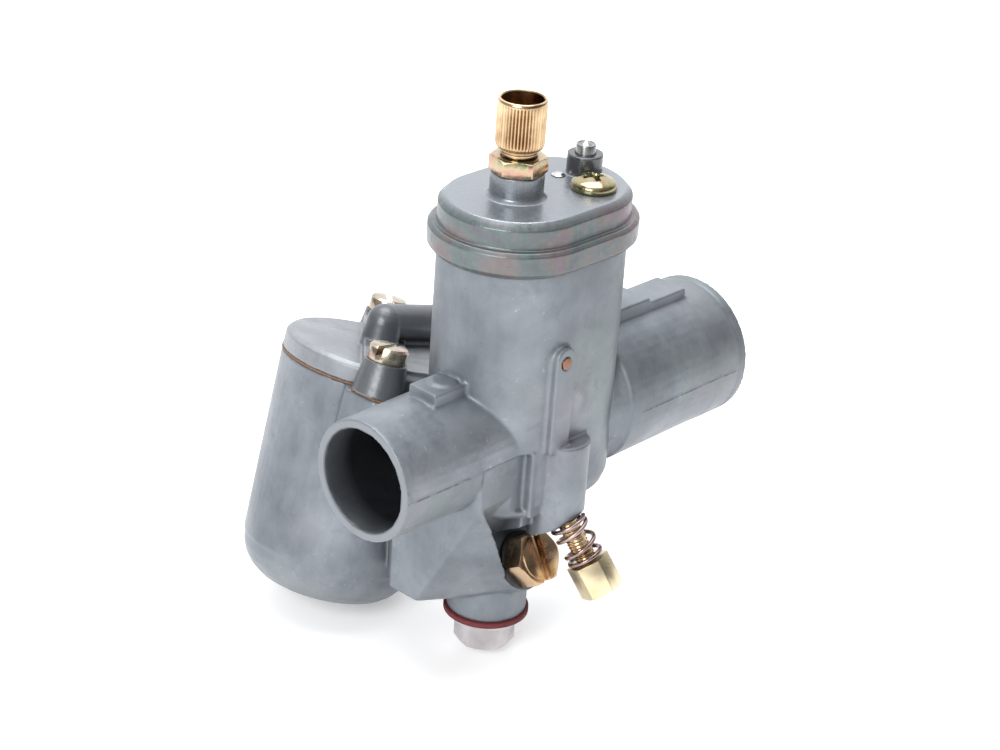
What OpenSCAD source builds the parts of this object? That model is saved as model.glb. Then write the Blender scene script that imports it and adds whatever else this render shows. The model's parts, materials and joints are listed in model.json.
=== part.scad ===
// Side-float slide carburetor for a small engine.
// The origin is the centre of the engine-side mouth. +X runs along the air passage to the
// air-filter neck and +Z runs up the throttle slide. The side with the adjusting screws is -Y.

/* [Air passage] */
// Distance from the engine-side mouth to the axis of the throttle slide
engine_len = 38.2; // [36:0.1:44]
// Distance from the axis of the throttle slide to the air-filter end
air_len = 60.8; // [56:0.1:66]
// Outer radius of the engine-side tube at its mouth
engine_r = 12.43; // [12:0.01:13]
// Bore radius of the engine-side socket
engine_bore_r = 10.5; // [10:0.05:11]
// Depth of the engine-side socket
engine_bore_len = 17; // [14:0.5:18]
// Outer radius of the air-filter neck
air_r = 15.3; // [15:0.05:15.8]
// Bore radius of the air-filter neck
air_bore_r = 13.2; // [12.5:0.05:13.4]
// Radius of the throat that the slide closes
throat_r = 8; // [7.5:0.1:8.2]

/* [Mixing chamber] */
// Half of the chamber's width, which is the radius of its round ends
chamber_r = 14.8; // [14.6:0.05:15]
// Distance between the centres of the chamber's two round ends
chamber_span = 11.8; // [11.5:0.1:12.4]
// Height of the chamber's rim
chamber_top = 42; // [41:0.1:42.4]
// Radius of the throttle slide
slide_r = 10; // [9.5:0.05:10.2]
// Travel of the throttle slide
slide_travel = 17; // [15:0.5:17]
// Distance from the throttle slide's axis to the starter plunger's axis
starter_x = 19.7; // [19.6:0.05:20]
// Travel of the starter plunger
starter_travel = 12; // [10:0.5:12]

/* [Chamber cap] */
// Half width of the cap's flange
flange_r = 16.83; // [16.6:0.01:17]
// Half width of the cap above its flange
cap_r = 15.08; // [15:0.01:15.4]
// Height of the cap's flat top
cap_top = 49.45; // [49:0.05:50]
// Height of the top of the cable adjuster
adjuster_top = 69.4; // [68:0.1:71]
// Radius of the adjuster over its knurl
knurl_r = 4.83; // [4.6:0.01:5]
// Number of flutes in the adjuster's knurl
knurl_flutes = 44; // [36:1:52]

/* [Float chamber] */
// Lean of the float chamber's axis from the slide's axis
float_tilt = 17; // [16:0.5:17.5]
// Outer radius of the float chamber at its lid
bowl_r = 20.5; // [20:0.1:20.6]
// Outer radius of the float chamber at its lower ridge
bowl_foot_r = 18.8; // [18.6:0.1:19]
// Depth of the float chamber from its rim to its lower ridge
bowl_depth = 40.5; // [40:0.5:41]
// Thickness of the float chamber's wall
bowl_wall = 2.2; // [2:0.1:2.4]
// Thickness of the lid
lid_t = 4.2; // [4:0.1:4.4]
// Distance from the lid's centre to each of its two screws
lid_screw_r = 23.1; // [23:0.05:23.3]

/* [Jets and screws] */
// Radius of the jet well under the slide
well_r = 8.3; // [8.1:0.05:8.5]
// Height of the jet well's lower face
well_bottom = -41.9; // [-42.4:0.1:-41.5]
// Tilt of the idle jet above the horizontal
jet_tilt = 30; // [28:1:32]
// Tilt of the throttle stop screw away from the vertical
stop_tilt = 32; // [31:0.5:33]
// Turn of the throttle stop screw about the slide's axis
stop_turn = 25; // [24:0.5:26]

/* [Hidden] */
$fn = 96;
eps = 0.01;
run = 0.05;                         // radial clearance of a running fit

// Levels of the mixing chamber
chamber_floor = -11.5;              // where the chamber's wall starts to round inwards
slide_floor = -throat_r - 0.5;      // floor of the slide's bore
slide_low = -throat_r;              // lower edge of the closed slide
slide_h = 30;
slide_web = 5;                      // thickness of the slide's floor
flange_low = 38.5;
flange_high = 44.1;
cap_roof = cap_top - 2.05;          // underside of the cap's roof
gasket_t = 0.5;
boss_top = cap_top + 5;             // top of the cable boss
nut_h = 3.4;
adjuster_stem_r = 2.95;
starter_low = 12.5;                 // seat of the starter plunger
starter_boss_r = 3.6;
starter_boss_top = 53.7;
starter_stem_r = 1.2;
plunger_h = 9.4;
cap_screw_pos = [14.9, -6.8];
cap_pin_pos = [14.6, 2.2];
guide_pin_z = 19.5;
rib_w = 5.4;
rib_y = -16.4;
land_x = -17.3;                     // flat land above the idle jet
land_y = -12.05;
land_z = -8.7;

// Float chamber, in its own tilted frame: origin at the centre of the lid's joint face
float_x = engine_len + 0.9;
float_y = 36;
float_z = -1.2;
neck_start = 52;                    // where the machined air neck starts
bowl_low = -49.4;                   // underside of the bowl
bowl_round = 8.8;                   // radius between the ridge and the underside
lid_screw_angle = 44;
nipple_h = 10;                      // height of the fuel inlet's axis
nipple_r = 3;
elbow_a = -1.6;                     // centre of the elbow's dome
nipple_in = 12;                     // where the fuel nipple enters the lid's elbow
nipple_out = 34;                    // free end of the fuel nipple
seat_low = -9;
hinge_a = 9.5;                      // axis of the float's hinge pin
hinge_h = -8.5;
tab_h = -11.4;                      // top of the float's tab under the needle
float_r = 13;
float_low = -30;
float_high = -14;

// Inclined screws, in the frame of the slide
jet_face = [0, -8.7, -27.8];        // where the idle jet's seal meets the body
jet_boss_r = 6.4;
stop_face = [3.6, -16.8, -16.4];    // where the stop screw leaves its boss
stop_boss = [4.2, -13.3];
stop_boss_r = 5.7;
stop_r = 2;
stop_tip = 14.2;                    // depth of the stop screw's tip inside its boss
stop_gap = 9.4;                     // length of the stop screw's spring
stop_head_h = 7.2;

// ---------- helpers ----------
module at_slide() { translate([engine_len, 0, 0]) children(); }
module at_starter() { translate([engine_len + starter_x, 0, 0]) children(); }
module in_float() { translate([float_x, float_y, float_z]) rotate([0, float_tilt, 0]) children(); }
// Local +Z points out of the body along the idle jet
module along_jet() { at_slide() translate(jet_face) rotate([90 - jet_tilt, 0, 0]) children(); }
// Local +Z points out of the body along the throttle stop screw
module along_stop() {
    at_slide() translate(stop_face) rotate([0, 0, stop_turn]) rotate([180 - stop_tilt, 0, 0]) children();
}
module along_x(x0, x1, r0, r1) {
    translate([x0, 0, 0]) rotate([0, 90, 0]) cylinder(r1 = r0, r2 = r1, h = x1 - x0);
}
module tube_z(r, z0, z1) { translate([0, 0, z0]) cylinder(r = r, h = z1 - z0); }
// Outline with two round ends, its first centre on the origin
module stadium(r, span = chamber_span) {
    circle(r);
    translate([span, 0]) circle(r);
    translate([0, -r]) square([span, 2 * r]);
}
module stadium_z(r, z0, z1) { translate([0, 0, z0]) linear_extrude(z1 - z0) stadium(r); }
// Tapered stadium; its faces are planes and short facets
module stadium_taper(r0, z0, r1, z1) {
    hull() {
        for (end = [[r0, z0], [r1, z1]])
            translate([0, 0, end[1] - (end[1] == z1 ? eps : 0)])
                for (x = [0, chamber_span])
                    translate([x, 0, 0]) cylinder(r = end[0], h = eps, $fn = 48);
    }
}
module hex_prism(across_flats, h, turn = 0) {
    rotate([0, 0, turn]) cylinder(r = across_flats / sqrt(3), h = h, $fn = 6);
}
// Hexagon with its corners turned off at the top, and at the bottom when both is set
module hex_turned(across_flats, h, turn = 0, both = false) {
    corner = across_flats / sqrt(3);
    cut = corner - across_flats / 2;
    intersection() {
        hex_prism(across_flats, h, turn);
        union() {
            translate([0, 0, both ? cut * 0.6 : 0])
                cylinder(r = corner + 0.2, h = h - cut * (both ? 1.2 : 0.6));
            translate([0, 0, h - cut * 0.6])
                cylinder(r1 = corner + 0.2, r2 = across_flats / 2 - 0.1, h = cut * 0.6 + 0.02);
            if (both) translate([0, 0, -0.02])
                cylinder(r1 = across_flats / 2 - 0.1, r2 = corner + 0.2, h = cut * 0.6 + 0.04);
        }
    }
}

// Height of a compression spring's wire after t turns: each end closes over one turn
function coil_z(t, turns, wire, length) =
    let (pitch = (length - 3 * wire) / (turns - 2))
    t < 1 ? t * wire
    : t > turns - 1 ? length - wire - (turns - t) * wire
    : wire + (t - 1) * pitch;
// Compression spring along +Z from 0 to length
module coil(mean_r, wire, length, turns, per_turn = 20, sides = 6) {
    steps = turns * per_turn;
    r = wire / 2;
    points = [for (i = [0 : steps]) for (k = [0 : sides - 1])
        let (a = i * 360 / per_turn, b = k * 360 / sides, rr = mean_r + r * cos(b))
        [rr * cos(a), rr * sin(a), r + coil_z(i / per_turn, turns, wire, length) + r * sin(b)]];
    walls = [for (i = [0 : steps - 1]) for (k = [0 : sides - 1])
        let (n = (k + 1) % sides)
        [i * sides + k, (i + 1) * sides + k, (i + 1) * sides + n, i * sides + n]];
    ends = [[for (k = [0 : sides - 1]) k],
        [for (k = [sides - 1 : -1 : 0]) steps * sides + k]];
    polyhedron(points, concat(walls, ends), convexity = 10);
}

// ---------- body casting ----------
// Outside of the float chamber as half a section
function bowl_section(r_top, r_foot, low, round_r, h_top, h_foot) = concat(
    [[0, low], [0, h_top], [r_top, h_top], [r_foot, h_foot]],
    [for (a = [0 : 15 : 90])
        [r_foot - 0.25 - round_r + round_r * cos(a), low + round_r - round_r * sin(a)]]);
module bowl_outside() {
    rotate_extrude() polygon(bowl_section(bowl_r, bowl_foot_r, bowl_low, bowl_round, -gasket_t, -bowl_depth));
}
module bowl_inside() {
    rotate_extrude() polygon(bowl_section(bowl_r - bowl_wall, bowl_foot_r - bowl_wall,
        bowl_low + bowl_wall, bowl_round - bowl_wall, 1, -bowl_depth));
}
// The two places of the lid's screws
module at_lid_screws() {
    for (a = [lid_screw_angle, lid_screw_angle + 180])
        rotate([0, 0, a]) translate([lid_screw_r, 0, 0]) children();
}
module lid_outline(r, ear) {
    circle(r);
    at_lid_screws() circle(ear);
    rotate([0, 0, lid_screw_angle]) square([2 * lid_screw_r, 2 * ear - 1.2], center = true);
}
// Ears of the casting under the lid's screws
module bowl_ears() {
    difference() {
        translate([0, 0, -15]) linear_extrude(15 - gasket_t) intersection() {
            rotate([0, 0, lid_screw_angle]) square([2 * lid_screw_r + 10.6, 13], center = true);
            square([2 * 20.9, 2 * 20.9], center = true);
        }
        // the ears run out downwards into the bowl
        for (a = [lid_screw_angle, lid_screw_angle + 180])
            rotate([0, 0, a]) translate([19, -12, -17]) rotate([0, 45, 0]) cube([14, 24, 14], center = false);
    }
}
module engine_tube() {
    along_x(0, engine_len, engine_r, engine_r + 0.45);
    // square land with a round button on top of the tube
    translate([15.2, -3.7, 5]) cube([11.6, 7.4, 9.7]);
    translate([20.9, 0, 14]) cylinder(r = 2.7, h = 1.2);
}
module air_tube() {
    start = engine_len + 22;
    neck = engine_len + neck_start;
    // cone that carries the chamber's round end into the tube, a cast length with a little draft,
    // then the machined neck
    along_x(start - 6, start + 2, 11.1, air_r - 0.1);
    along_x(start + 1.6, neck, air_r + 0.1, air_r - 0.1);
    along_x(neck - eps, engine_len + air_len, air_r, air_r);
    // stepped rib on top
    translate([start - 2, -4, 8]) cube([neck - start + 1.7, 8, 8.9]);
    translate([start - 2, -4, 8]) cube([20, 8, 9.9]);
}
module chamber_outside() {
    stadium_z(chamber_r, chamber_floor, chamber_top);
    hull() {
        stadium_z(chamber_r, chamber_floor - eps, chamber_floor, $fn = 48);
        stadium_z(14, chamber_floor - 2.3, chamber_floor - 2.2, $fn = 48);
        stadium_z(12.4, chamber_floor - 3.7, chamber_floor - 3.6, $fn = 48);
        stadium_z(9.6, chamber_floor - 4.6, chamber_floor - 4.5, $fn = 48);
    }
    // guide rib with a round top
    rib_top = guide_pin_z + 0.6;
    translate([-rib_w / 2, rib_y, 0]) cube([rib_w, 8, rib_top]);
    translate([0, rib_y, rib_top]) rotate([-90, 0, 0]) cylinder(r = rib_w / 2, h = 8);
    // post under the rib
    translate([-5.2, -14.3, -14.2]) cube([6.2, 8, 14.7]);
}
module stop_screw_boss() {
    difference() {
        at_slide() translate([stop_boss[0], stop_boss[1], -26]) cylinder(r = stop_boss_r, h = 27);
        along_stop() translate([-15, -15, 0]) cube([30, 30, 20]);
    }
}
// Fuel gallery block between the float chamber and the jet well, and the well itself
module gallery_block() {
    at_slide() difference() {
        union() {
            hull() {
                translate([land_x, land_y - 0.3, land_z]) cube([13, 22, 8.7]);
                translate([-18.3, 3, -35.9]) cube([12, 7.5, 20]);
                translate([-15, 1.5, -35.9]) cube([12, 12.5, 20]);
                translate([-12.2, -0.8, -35.9]) cube([14, 18, 20]);
                translate(jet_face) rotate([90 - jet_tilt, 0, 0]) translate([0, 0, -11])
                    cylinder(r = jet_boss_r - 0.4, h = 10, $fn = 32);
                translate([-4, 0, -34]) cube([11, 19, 24]);
            }
            tube_z(well_r, well_bottom, -8);
        }
        translate(jet_face) rotate([90 - jet_tilt, 0, 0]) jet_pocket();
    }
    along_jet() translate([0, 0, -12]) cylinder(r = jet_boss_r, h = 12);
}
// Pocket above the idle jet, in the jet's frame, with X along the air passage
module jet_pocket() {
    translate([0, 0, -0.3]) {
        linear_extrude(30) polygon([[-6.3, -1], [-6.3, 7.5], [40, 7.5], [40, -40], [-1, -40], [-1, -6.5]]);
        cylinder(r = 6.15, h = 12);
        // scoop that runs out at the corner of the flat land
        hull() {
            linear_extrude(eps) polygon([[-6.3, -1], [-6.3, 6], [-4.6, 7.3], [-4.6, -0.6]]);
            translate([0, 0, 12.75]) linear_extrude(17)
                polygon([[-6.3, -1], [land_x + 0.8, 14.8], [-4.6, 14.8], [-4.6, -0.6]]);
        }
    }
}
module body_outside() {
    engine_tube();
    air_tube();
    at_slide() {
        chamber_outside();
        // bridge from the chamber's foot to the float chamber
        translate([-12, 8, -33]) cube([21, 16, 26]);
    }
    gallery_block();
    stop_screw_boss();
    in_float() {
        bowl_outside();
        bowl_ears();
    }
}
module air_passage() {
    along_x(-1, engine_bore_len, engine_bore_r, engine_bore_r);
    along_x(engine_bore_len - eps, engine_len - 11, engine_bore_r, throat_r);
    along_x(engine_len - 11 - eps, engine_len + 13, throat_r, throat_r);
    along_x(engine_len + 13 - eps, engine_len + 33, throat_r, air_bore_r);
    along_x(engine_len + 33 - eps, engine_len + air_len + 1, air_bore_r, air_bore_r);
}
module body_inside() {
    air_passage();
    at_slide() {
        tube_z(slide_r + run, slide_floor, chamber_top + 1);
        // jet well: nut thread below, needle jet seat above
        tube_z(5, well_bottom - 1, -31);
        tube_z(3.5, -32, -12);
        tube_z(2.6, -13, -7);
        // drilling from the float chamber
        translate([0, 24, -34]) rotate([90, 0, 0]) cylinder(r = 1.8, h = 24);
        // flat land above the idle jet
        translate([land_x - 0.3, land_y - 8, land_z - 4]) cube([-4.9 - land_x, 8, 4.3 - land_z]);
        // guide pin
        translate([0, rib_y - 1, guide_pin_z]) rotate([-90, 0, 0]) cylinder(r = 1.25, h = 9);
        // cap screw and cap pin
        translate([cap_screw_pos[0], cap_screw_pos[1], 0]) tube_z(2, 28, chamber_top + 1);
        translate([cap_pin_pos[0], cap_pin_pos[1], 0]) tube_z(1.4, 37, chamber_top + 1);
    }
    at_starter() {
        tube_z(3, starter_low, chamber_top + 1);
        tube_z(1.2, 6, starter_low + 1);
    }
    along_jet() {
        translate([0, 0, -3.6]) cylinder(r = 2.5, h = 5);
        translate([0, 0, -7]) cylinder(r = 0.6, h = 4);
    }
    along_stop() translate([0, 0, -16.5]) cylinder(r = stop_r + run, h = 20);
    in_float() {
        bowl_inside();
        at_lid_screws() tube_z(2, -12, 1);
    }
}
module body() {
    color([0.56, 0.59, 0.62]) difference() {
        body_outside();
        body_inside();
    }
}

// ---------- mixing chamber cap ----------
module chamber_cap() {
    color([0.60, 0.62, 0.62]) difference() {
        union() {
            at_slide() {
                stadium_taper(flange_r - 1.2, flange_low, flange_r, flange_low + 1.3);
                stadium_z(flange_r, flange_low + 1.3 - eps, flange_high - 0.7);
                stadium_taper(flange_r, flange_high - 0.7 - eps, flange_r - 0.7, flange_high);
                stadium_z(cap_r, flange_high - 1, cap_top - 1.4);
                stadium_taper(cap_r, cap_top - 1.4 - eps, cap_r - 1.4, cap_top);
                // boss under the cable adjuster
                translate([0, 0, cap_top - eps]) cylinder(r1 = 6, r2 = 5.3, h = 0.8);
                tube_z(5.3, cap_top, boss_top);
            }
            at_starter() tube_z(starter_boss_r, cap_top - 1, starter_boss_top);
        }
        at_slide() {
            stadium_z(chamber_r + run, flange_low - 1, chamber_top + gasket_t);
            stadium_z(chamber_r - 2.4, chamber_top, cap_roof);
            tube_z(3, cap_roof - 1, boss_top + 1);
            translate([cap_screw_pos[0], cap_screw_pos[1], 0]) tube_z(2.2, 40, cap_top + 1);
            translate([cap_pin_pos[0], cap_pin_pos[1], 0]) tube_z(1.4, 40, cap_top + 1);
        }
        at_starter() tube_z(2 + run, cap_roof - 1, starter_boss_top + 1);
    }
}
module cap_gasket() {
    color([0.35, 0.30, 0.24]) at_slide() translate([0, 0, chamber_top]) linear_extrude(gasket_t)
        difference() {
            stadium(chamber_r - 0.1);
            stadium(chamber_r - 2.4);
        }
}
// Pan head screw with a cross recess, standing on z = 0
module pan_screw(head_r, head_h, shank_r, shank_len) {
    difference() {
        union() {
            cylinder(r = head_r, h = head_h * 0.45);
            translate([0, 0, head_h * 0.45 - eps]) cylinder(r1 = head_r, r2 = head_r * 0.86, h = head_h * 0.3);
            translate([0, 0, head_h * 0.75 - 2 * eps]) cylinder(r1 = head_r * 0.86, r2 = head_r * 0.5, h = head_h * 0.25);
            translate([0, 0, -shank_len]) cylinder(r = shank_r, h = shank_len + 1);
        }
        for (a = [0, 90]) rotate([0, 0, a + 20])
            translate([-head_r * 0.55, -0.5, head_h * 0.35]) cube([head_r * 1.1, 1, head_h]);
    }
}
module cap_screw() {
    color([0.78, 0.74, 0.52]) at_slide() translate([cap_screw_pos[0], cap_screw_pos[1], cap_top])
        pan_screw(4.55, 2.7, 2, 19);
}
module cap_pin() {
    color([0.80, 0.80, 0.78]) at_slide() translate([cap_pin_pos[0], cap_pin_pos[1], 0]) {
        tube_z(1.4, 38, cap_top + 0.15);
        translate([0, 0, cap_top + 0.15 - eps]) cylinder(r1 = 1.4, r2 = 0.7, h = 0.35);
    }
}
// Flutes of the adjuster's knurl as a polygon
function knurl_points(r, depth, flutes) = [for (i = [0 : flutes * 2 - 1])
    let (a = i * 180 / flutes, rr = r - (i % 2 == 1 ? depth : 0)) [rr * cos(a), rr * sin(a)]];
module cable_adjuster() {
    knurl_low = adjuster_top - 9.9;
    neck_low = boss_top + nut_h;
    color([0.80, 0.62, 0.36]) at_slide() difference() {
        union() {
            intersection() {
                translate([0, 0, knurl_low]) linear_extrude(adjuster_top - knurl_low)
                    polygon(knurl_points(knurl_r, 0.3, knurl_flutes));
                union() {
                    translate([0, 0, knurl_low]) cylinder(r1 = 4, r2 = knurl_r + 0.1, h = 1);
                    tube_z(knurl_r + 0.1, knurl_low + 1 - eps, adjuster_top - 0.3);
                    translate([0, 0, adjuster_top - 0.3 - eps])
                        cylinder(r1 = knurl_r + 0.1, r2 = knurl_r - 0.3, h = 0.3);
                }
            }
            tube_z(3.6, neck_low + 0.3, knurl_low + 0.5);
            tube_z(adjuster_stem_r, cap_roof - 1.5, knurl_low + 0.5);
        }
        tube_z(4.15, adjuster_top - 6.5, adjuster_top + 1);
        tube_z(1.1, cap_roof - 2, adjuster_top);
    }
}
module adjuster_locknut() {
    color([0.72, 0.70, 0.48]) at_slide() translate([0, 0, boss_top]) difference() {
        hex_turned(10, nut_h, 11.6, true);
        translate([0, 0, -1]) cylinder(r = 3, h = nut_h + 2);
    }
}

// ---------- throttle valve ----------
module throttle_slide() {
    color([0.66, 0.68, 0.70]) at_slide() difference() {
        tube_z(slide_r, slide_low, slide_low + slide_h);
        tube_z(slide_r - 2.2, slide_low + slide_web, slide_low + slide_h + 1);
        tube_z(1.3, slide_low - 1, slide_low + slide_web + 1);
        // cutaway towards the air filter
        translate([0, -15, slide_low]) rotate([0, -14, 0]) translate([0, 0, -6]) cube([20, 30, 6]);
        // groove for the guide pin
        translate([-1.4, -slide_r - 1, slide_low + 8]) cube([2.8, 2.2, slide_h]);
        // notch over the throttle stop screw
        rotate([0, 0, 2]) translate([-2.8, -slide_r - 1, slide_low - 1]) cube([5.6, 3.4, 5.8]);
        // slot and seat for the cable's nipple
        translate([4.6, 0, 0]) tube_z(1.7, slide_low + 1.5, slide_low + slide_web + 1);
    }
}
module jet_needle() {
    color([0.78, 0.70, 0.45]) at_slide() {
        tube_z(1.2, -11, 1.5);
        translate([0, 0, -28]) cylinder(r1 = 0.7, r2 = 1.2, h = 17 + eps);
    }
}
module needle_clip() {
    clip_z = slide_low + slide_web;
    color([0.75, 0.75, 0.74]) at_slide() translate([0, 0, clip_z]) difference() {
        cylinder(r = 2.7, h = 0.6);
        translate([0, 0, -1]) cylinder(r = 1.2, h = 3);
        translate([-0.8, -4, -1]) cube([1.6, 3.4, 3]);
    }
}
module throttle_spring() {
    seat = slide_low + slide_web;
    color([0.70, 0.71, 0.72]) at_slide() translate([0, 0, seat])
        coil(6.2, 0.9, cap_roof - seat, 10, 20, 6);
}
module slide_guide_pin() {
    color([0.70, 0.52, 0.30]) at_slide() translate([0, rib_y - 0.15, guide_pin_z])
        rotate([-90, 0, 0]) cylinder(r = 1.25, h = 7.2);
}

// ---------- starter valve ----------
module starter_plunger() {
    color([0.76, 0.62, 0.36]) at_starter() tube_z(3 - run, starter_low, starter_low + plunger_h);
}
module starter_pin() {
    shoulder = cap_roof + 0.3;
    color([0.72, 0.73, 0.74]) at_starter() {
        tube_z(starter_stem_r, starter_low + plunger_h, shoulder + eps);
        tube_z(2, shoulder, starter_boss_top + 1.9);
        translate([0, 0, starter_boss_top + 1.9 - eps]) cylinder(r1 = 1, r2 = 0.15, h = 0.8);
    }
}
module starter_spring() {
    seat = starter_low + plunger_h;
    color([0.70, 0.71, 0.72]) at_starter() translate([0, 0, seat])
        coil(2.4, 0.5, cap_roof - seat, 14, 14, 6);
}

// ---------- jets ----------
module needle_jet() {
    color([0.78, 0.62, 0.36]) at_slide() difference() {
        union() {
            tube_z(3.5, -30, -13);
            tube_z(2.6, -13 - eps, slide_floor - 0.1);
        }
        tube_z(1.28, -14, 0);
        tube_z(1.9, -31, -13.9);
    }
}
module main_jet() {
    color([0.80, 0.64, 0.34]) at_slide() difference() {
        union() {
            tube_z(1.9, -30, -28.5);
            translate([0, 0, -33]) hex_prism(6, 3);
        }
        tube_z(0.4, -34, -28);
    }
}
module bottom_plug() {
    flange_z = well_bottom - 1.1;
    color([0.86, 0.85, 0.86]) at_slide() {
        tube_z(5, flange_z - 1, -36.5);
        tube_z(7.7, flange_z - 1.2, flange_z);
        translate([0, 0, flange_z - 1.2]) rotate([180, 0, 0]) hex_turned(11, 6, -11.6);
    }
}
module bottom_plug_gasket() {
    color([0.50, 0.14, 0.16]) at_slide() difference() {
        tube_z(8.9, well_bottom - 1.1, well_bottom);
        tube_z(5, well_bottom - 2, well_bottom + 1);
    }
}
module idle_jet() {
    head_low = 1;
    head_h = 4.8;
    color([0.66, 0.48, 0.26]) along_jet() difference() {
        union() {
            translate([0, 0, -3.4]) cylinder(r = 2.5, h = 3.4 + head_low + eps);
            translate([0, 0, head_low]) hex_turned(10.4, head_h, 0);
            translate([0, 0, head_low + head_h - 1]) cylinder(r = 4.7, h = 1.5);
        }
        translate([-1, -6, head_low + head_h - 1.2]) cube([2, 12, 4]);
        translate([0, 0, -4]) cylinder(r = 0.5, h = 3);
    }
}
module idle_jet_seal() {
    color([0.08, 0.08, 0.09]) along_jet() difference() {
        cylinder(r = 6, h = 1);
        translate([0, 0, -1]) cylinder(r = 2.5, h = 3);
    }
}

// ---------- throttle stop screw ----------
module throttle_stop_screw() {
    color([0.86, 0.78, 0.52]) along_stop() {
        translate([0, 0, -stop_tip]) cylinder(r = stop_r, h = stop_tip + stop_gap + 1);
        translate([0, 0, stop_gap]) hex_turned(7.8, stop_head_h, 8);
    }
}
module throttle_stop_spring() {
    color([0.50, 0.44, 0.42]) along_stop() coil(3.5, 0.85, stop_gap - 0.05, 3.75, 24, 8);
}

// ---------- float chamber ----------
module float_cover() {
    color([0.60, 0.62, 0.65]) in_float() difference() {
        union() {
            cylinder(r = bowl_r, h = lid_t - 0.9);
            translate([0, 0, lid_t - 0.9 - eps]) cylinder(r1 = bowl_r, r2 = bowl_r - 0.9, h = 0.9);
            at_lid_screws() cylinder(r1 = 5.4, r2 = 4.4, h = 7);
            // bar between the screws, and the lid's thicker side under the fuel inlet
            rotate([0, 0, lid_screw_angle]) translate([-lid_screw_r, -4.4, 0]) cube([2 * lid_screw_r, 8.8, lid_t + 1.9]);
            intersection() {
                cylinder(r = bowl_r - 1, h = lid_t + 1);
                rotate([0, 0, lid_screw_angle]) translate([-25, -25, 0]) cube([50, 25, lid_t + 2]);
            }
            // dome over the needle seat and elbow of the fuel inlet
            translate([elbow_a, 0, 0]) rotate_extrude() polygon(concat([[0, 0], [4.1, 0], [3.8, nipple_h]],
                [for (a = [15 : 15 : 75]) [3.8 * cos(a), nipple_h + 3.8 * sin(a)]], [[0, nipple_h + 3.8]]));
            translate([0, 0, nipple_h]) along_x(elbow_a, 17, 3.7, 3.9);
            translate([elbow_a, -1.2, 0]) cube([17 - elbow_a, 2.4, nipple_h - 2]);
            // boss and lugs under the lid
            tube_z(5, -5, 1);
            for (b = [-7, 4]) translate([hinge_a - 3, b, hinge_h - 2.6]) cube([6, 3, -hinge_h + 3.6]);
        }
        tube_z(3.2, -6, 4);
        tube_z(1.4, 3, nipple_h + 0.5);
        translate([0, 0, nipple_h]) along_x(-0.6, nipple_in + 1, 1.7, 1.7);
        translate([0, 0, nipple_h]) along_x(nipple_in, 18, nipple_r - 0.3, nipple_r - 0.3);
        at_lid_screws() tube_z(2.3, -1, 8);
        translate([hinge_a, -8, hinge_h]) rotate([-90, 0, 0]) cylinder(r = 1, h = 16);
    }
}
module float_cover_gasket() {
    color([0.66, 0.45, 0.28]) in_float() translate([0, 0, -gasket_t]) linear_extrude(gasket_t)
        difference() {
            intersection() {
                lid_outline(bowl_r + 0.1, 5.45);
                square([2 * 21, 2 * 21], center = true);
            }
            circle(bowl_r - bowl_wall);
            at_lid_screws() circle(2.3);
        }
}
module float_cover_screws() {
    slot_turn = [2, -30];
    color([0.74, 0.64, 0.38]) in_float() for (i = [0, 1])
        rotate([0, 0, lid_screw_angle + i * 180]) translate([lid_screw_r, 0, 0]) difference() {
            union() {
                tube_z(4, 7, 9.7);
                translate([0, 0, 9.7 - eps]) cylinder(r1 = 4, r2 = 3.6, h = 0.5);
                tube_z(2, -11, 7 + eps);
            }
            rotate([0, 0, slot_turn[i]]) translate([-5, -0.65, 8.3]) cube([10, 1.3, 3]);
        }
}
module fuel_nipple() {
    color([0.80, 0.70, 0.42]) in_float() translate([0, 0, nipple_h]) difference() {
        union() {
            along_x(nipple_in, 17 + eps, nipple_r - 0.3, nipple_r - 0.3);
            along_x(17, nipple_out, nipple_r, nipple_r);
        }
        along_x(nipple_in - 1, nipple_out + 1, 1.9, 1.9);
    }
}
module needle_seat() {
    color([0.80, 0.66, 0.38]) in_float() difference() {
        tube_z(3.2, seat_low, 3.9);
        tube_z(1.6, seat_low - 1, 1);
        translate([0, 0, 1 - eps]) cylinder(r1 = 1.6, r2 = 0.8, h = 1);
        tube_z(0.8, 1, 5);
    }
}
module float_needle() {
    color([0.72, 0.73, 0.75]) in_float() {
        tube_z(1.6 - run, tab_h + 0.05, -0.6);
        translate([0, 0, -0.6 - eps]) cylinder(r1 = 1.6 - run, r2 = 0.5, h = 1.35);
    }
}
module float_body() {
    arm_w = 7.4;
    color([0.90, 0.88, 0.82]) in_float() difference() {
        union() {
            translate([-0.5, 0, 0]) tube_z(float_r, float_low, float_high);
            // arm from the hinge to the float, with the tab under the needle
            translate([hinge_a, arm_w / 2, hinge_h]) rotate([90, 0, 0]) cylinder(r = 2.2, h = arm_w);
            translate([-3, -arm_w / 2, tab_h - 1]) cube([hinge_a + 3, arm_w, 1]);
            translate([hinge_a - 1.2, -arm_w / 2, tab_h - 1]) cube([2.4, arm_w, 2.8]);
            translate([6, -arm_w / 2, float_high - 1]) cube([3, arm_w, tab_h - float_high + 0.5]);
        }
        translate([hinge_a, -5, hinge_h]) rotate([-90, 0, 0]) cylinder(r = 1 + run, h = 10);
    }
}
module float_hinge_pin() {
    color([0.75, 0.75, 0.74]) in_float() translate([hinge_a, -7.4, hinge_h])
        rotate([-90, 0, 0]) cylinder(r = 1, h = 14.8);
}

body();
chamber_cap();
cap_gasket();
cap_screw();
cap_pin();
cable_adjuster();
adjuster_locknut();
throttle_slide();
jet_needle();
needle_clip();
throttle_spring();
slide_guide_pin();
starter_plunger();
starter_pin();
starter_spring();
needle_jet();
main_jet();
bottom_plug();
bottom_plug_gasket();
idle_jet();
idle_jet_seal();
throttle_stop_screw();
throttle_stop_spring();
float_cover();
float_cover_gasket();
float_cover_screws();
fuel_nipple();
needle_seat();
float_needle();
float_body();
float_hinge_pin();
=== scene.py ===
import json
import math

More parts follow.
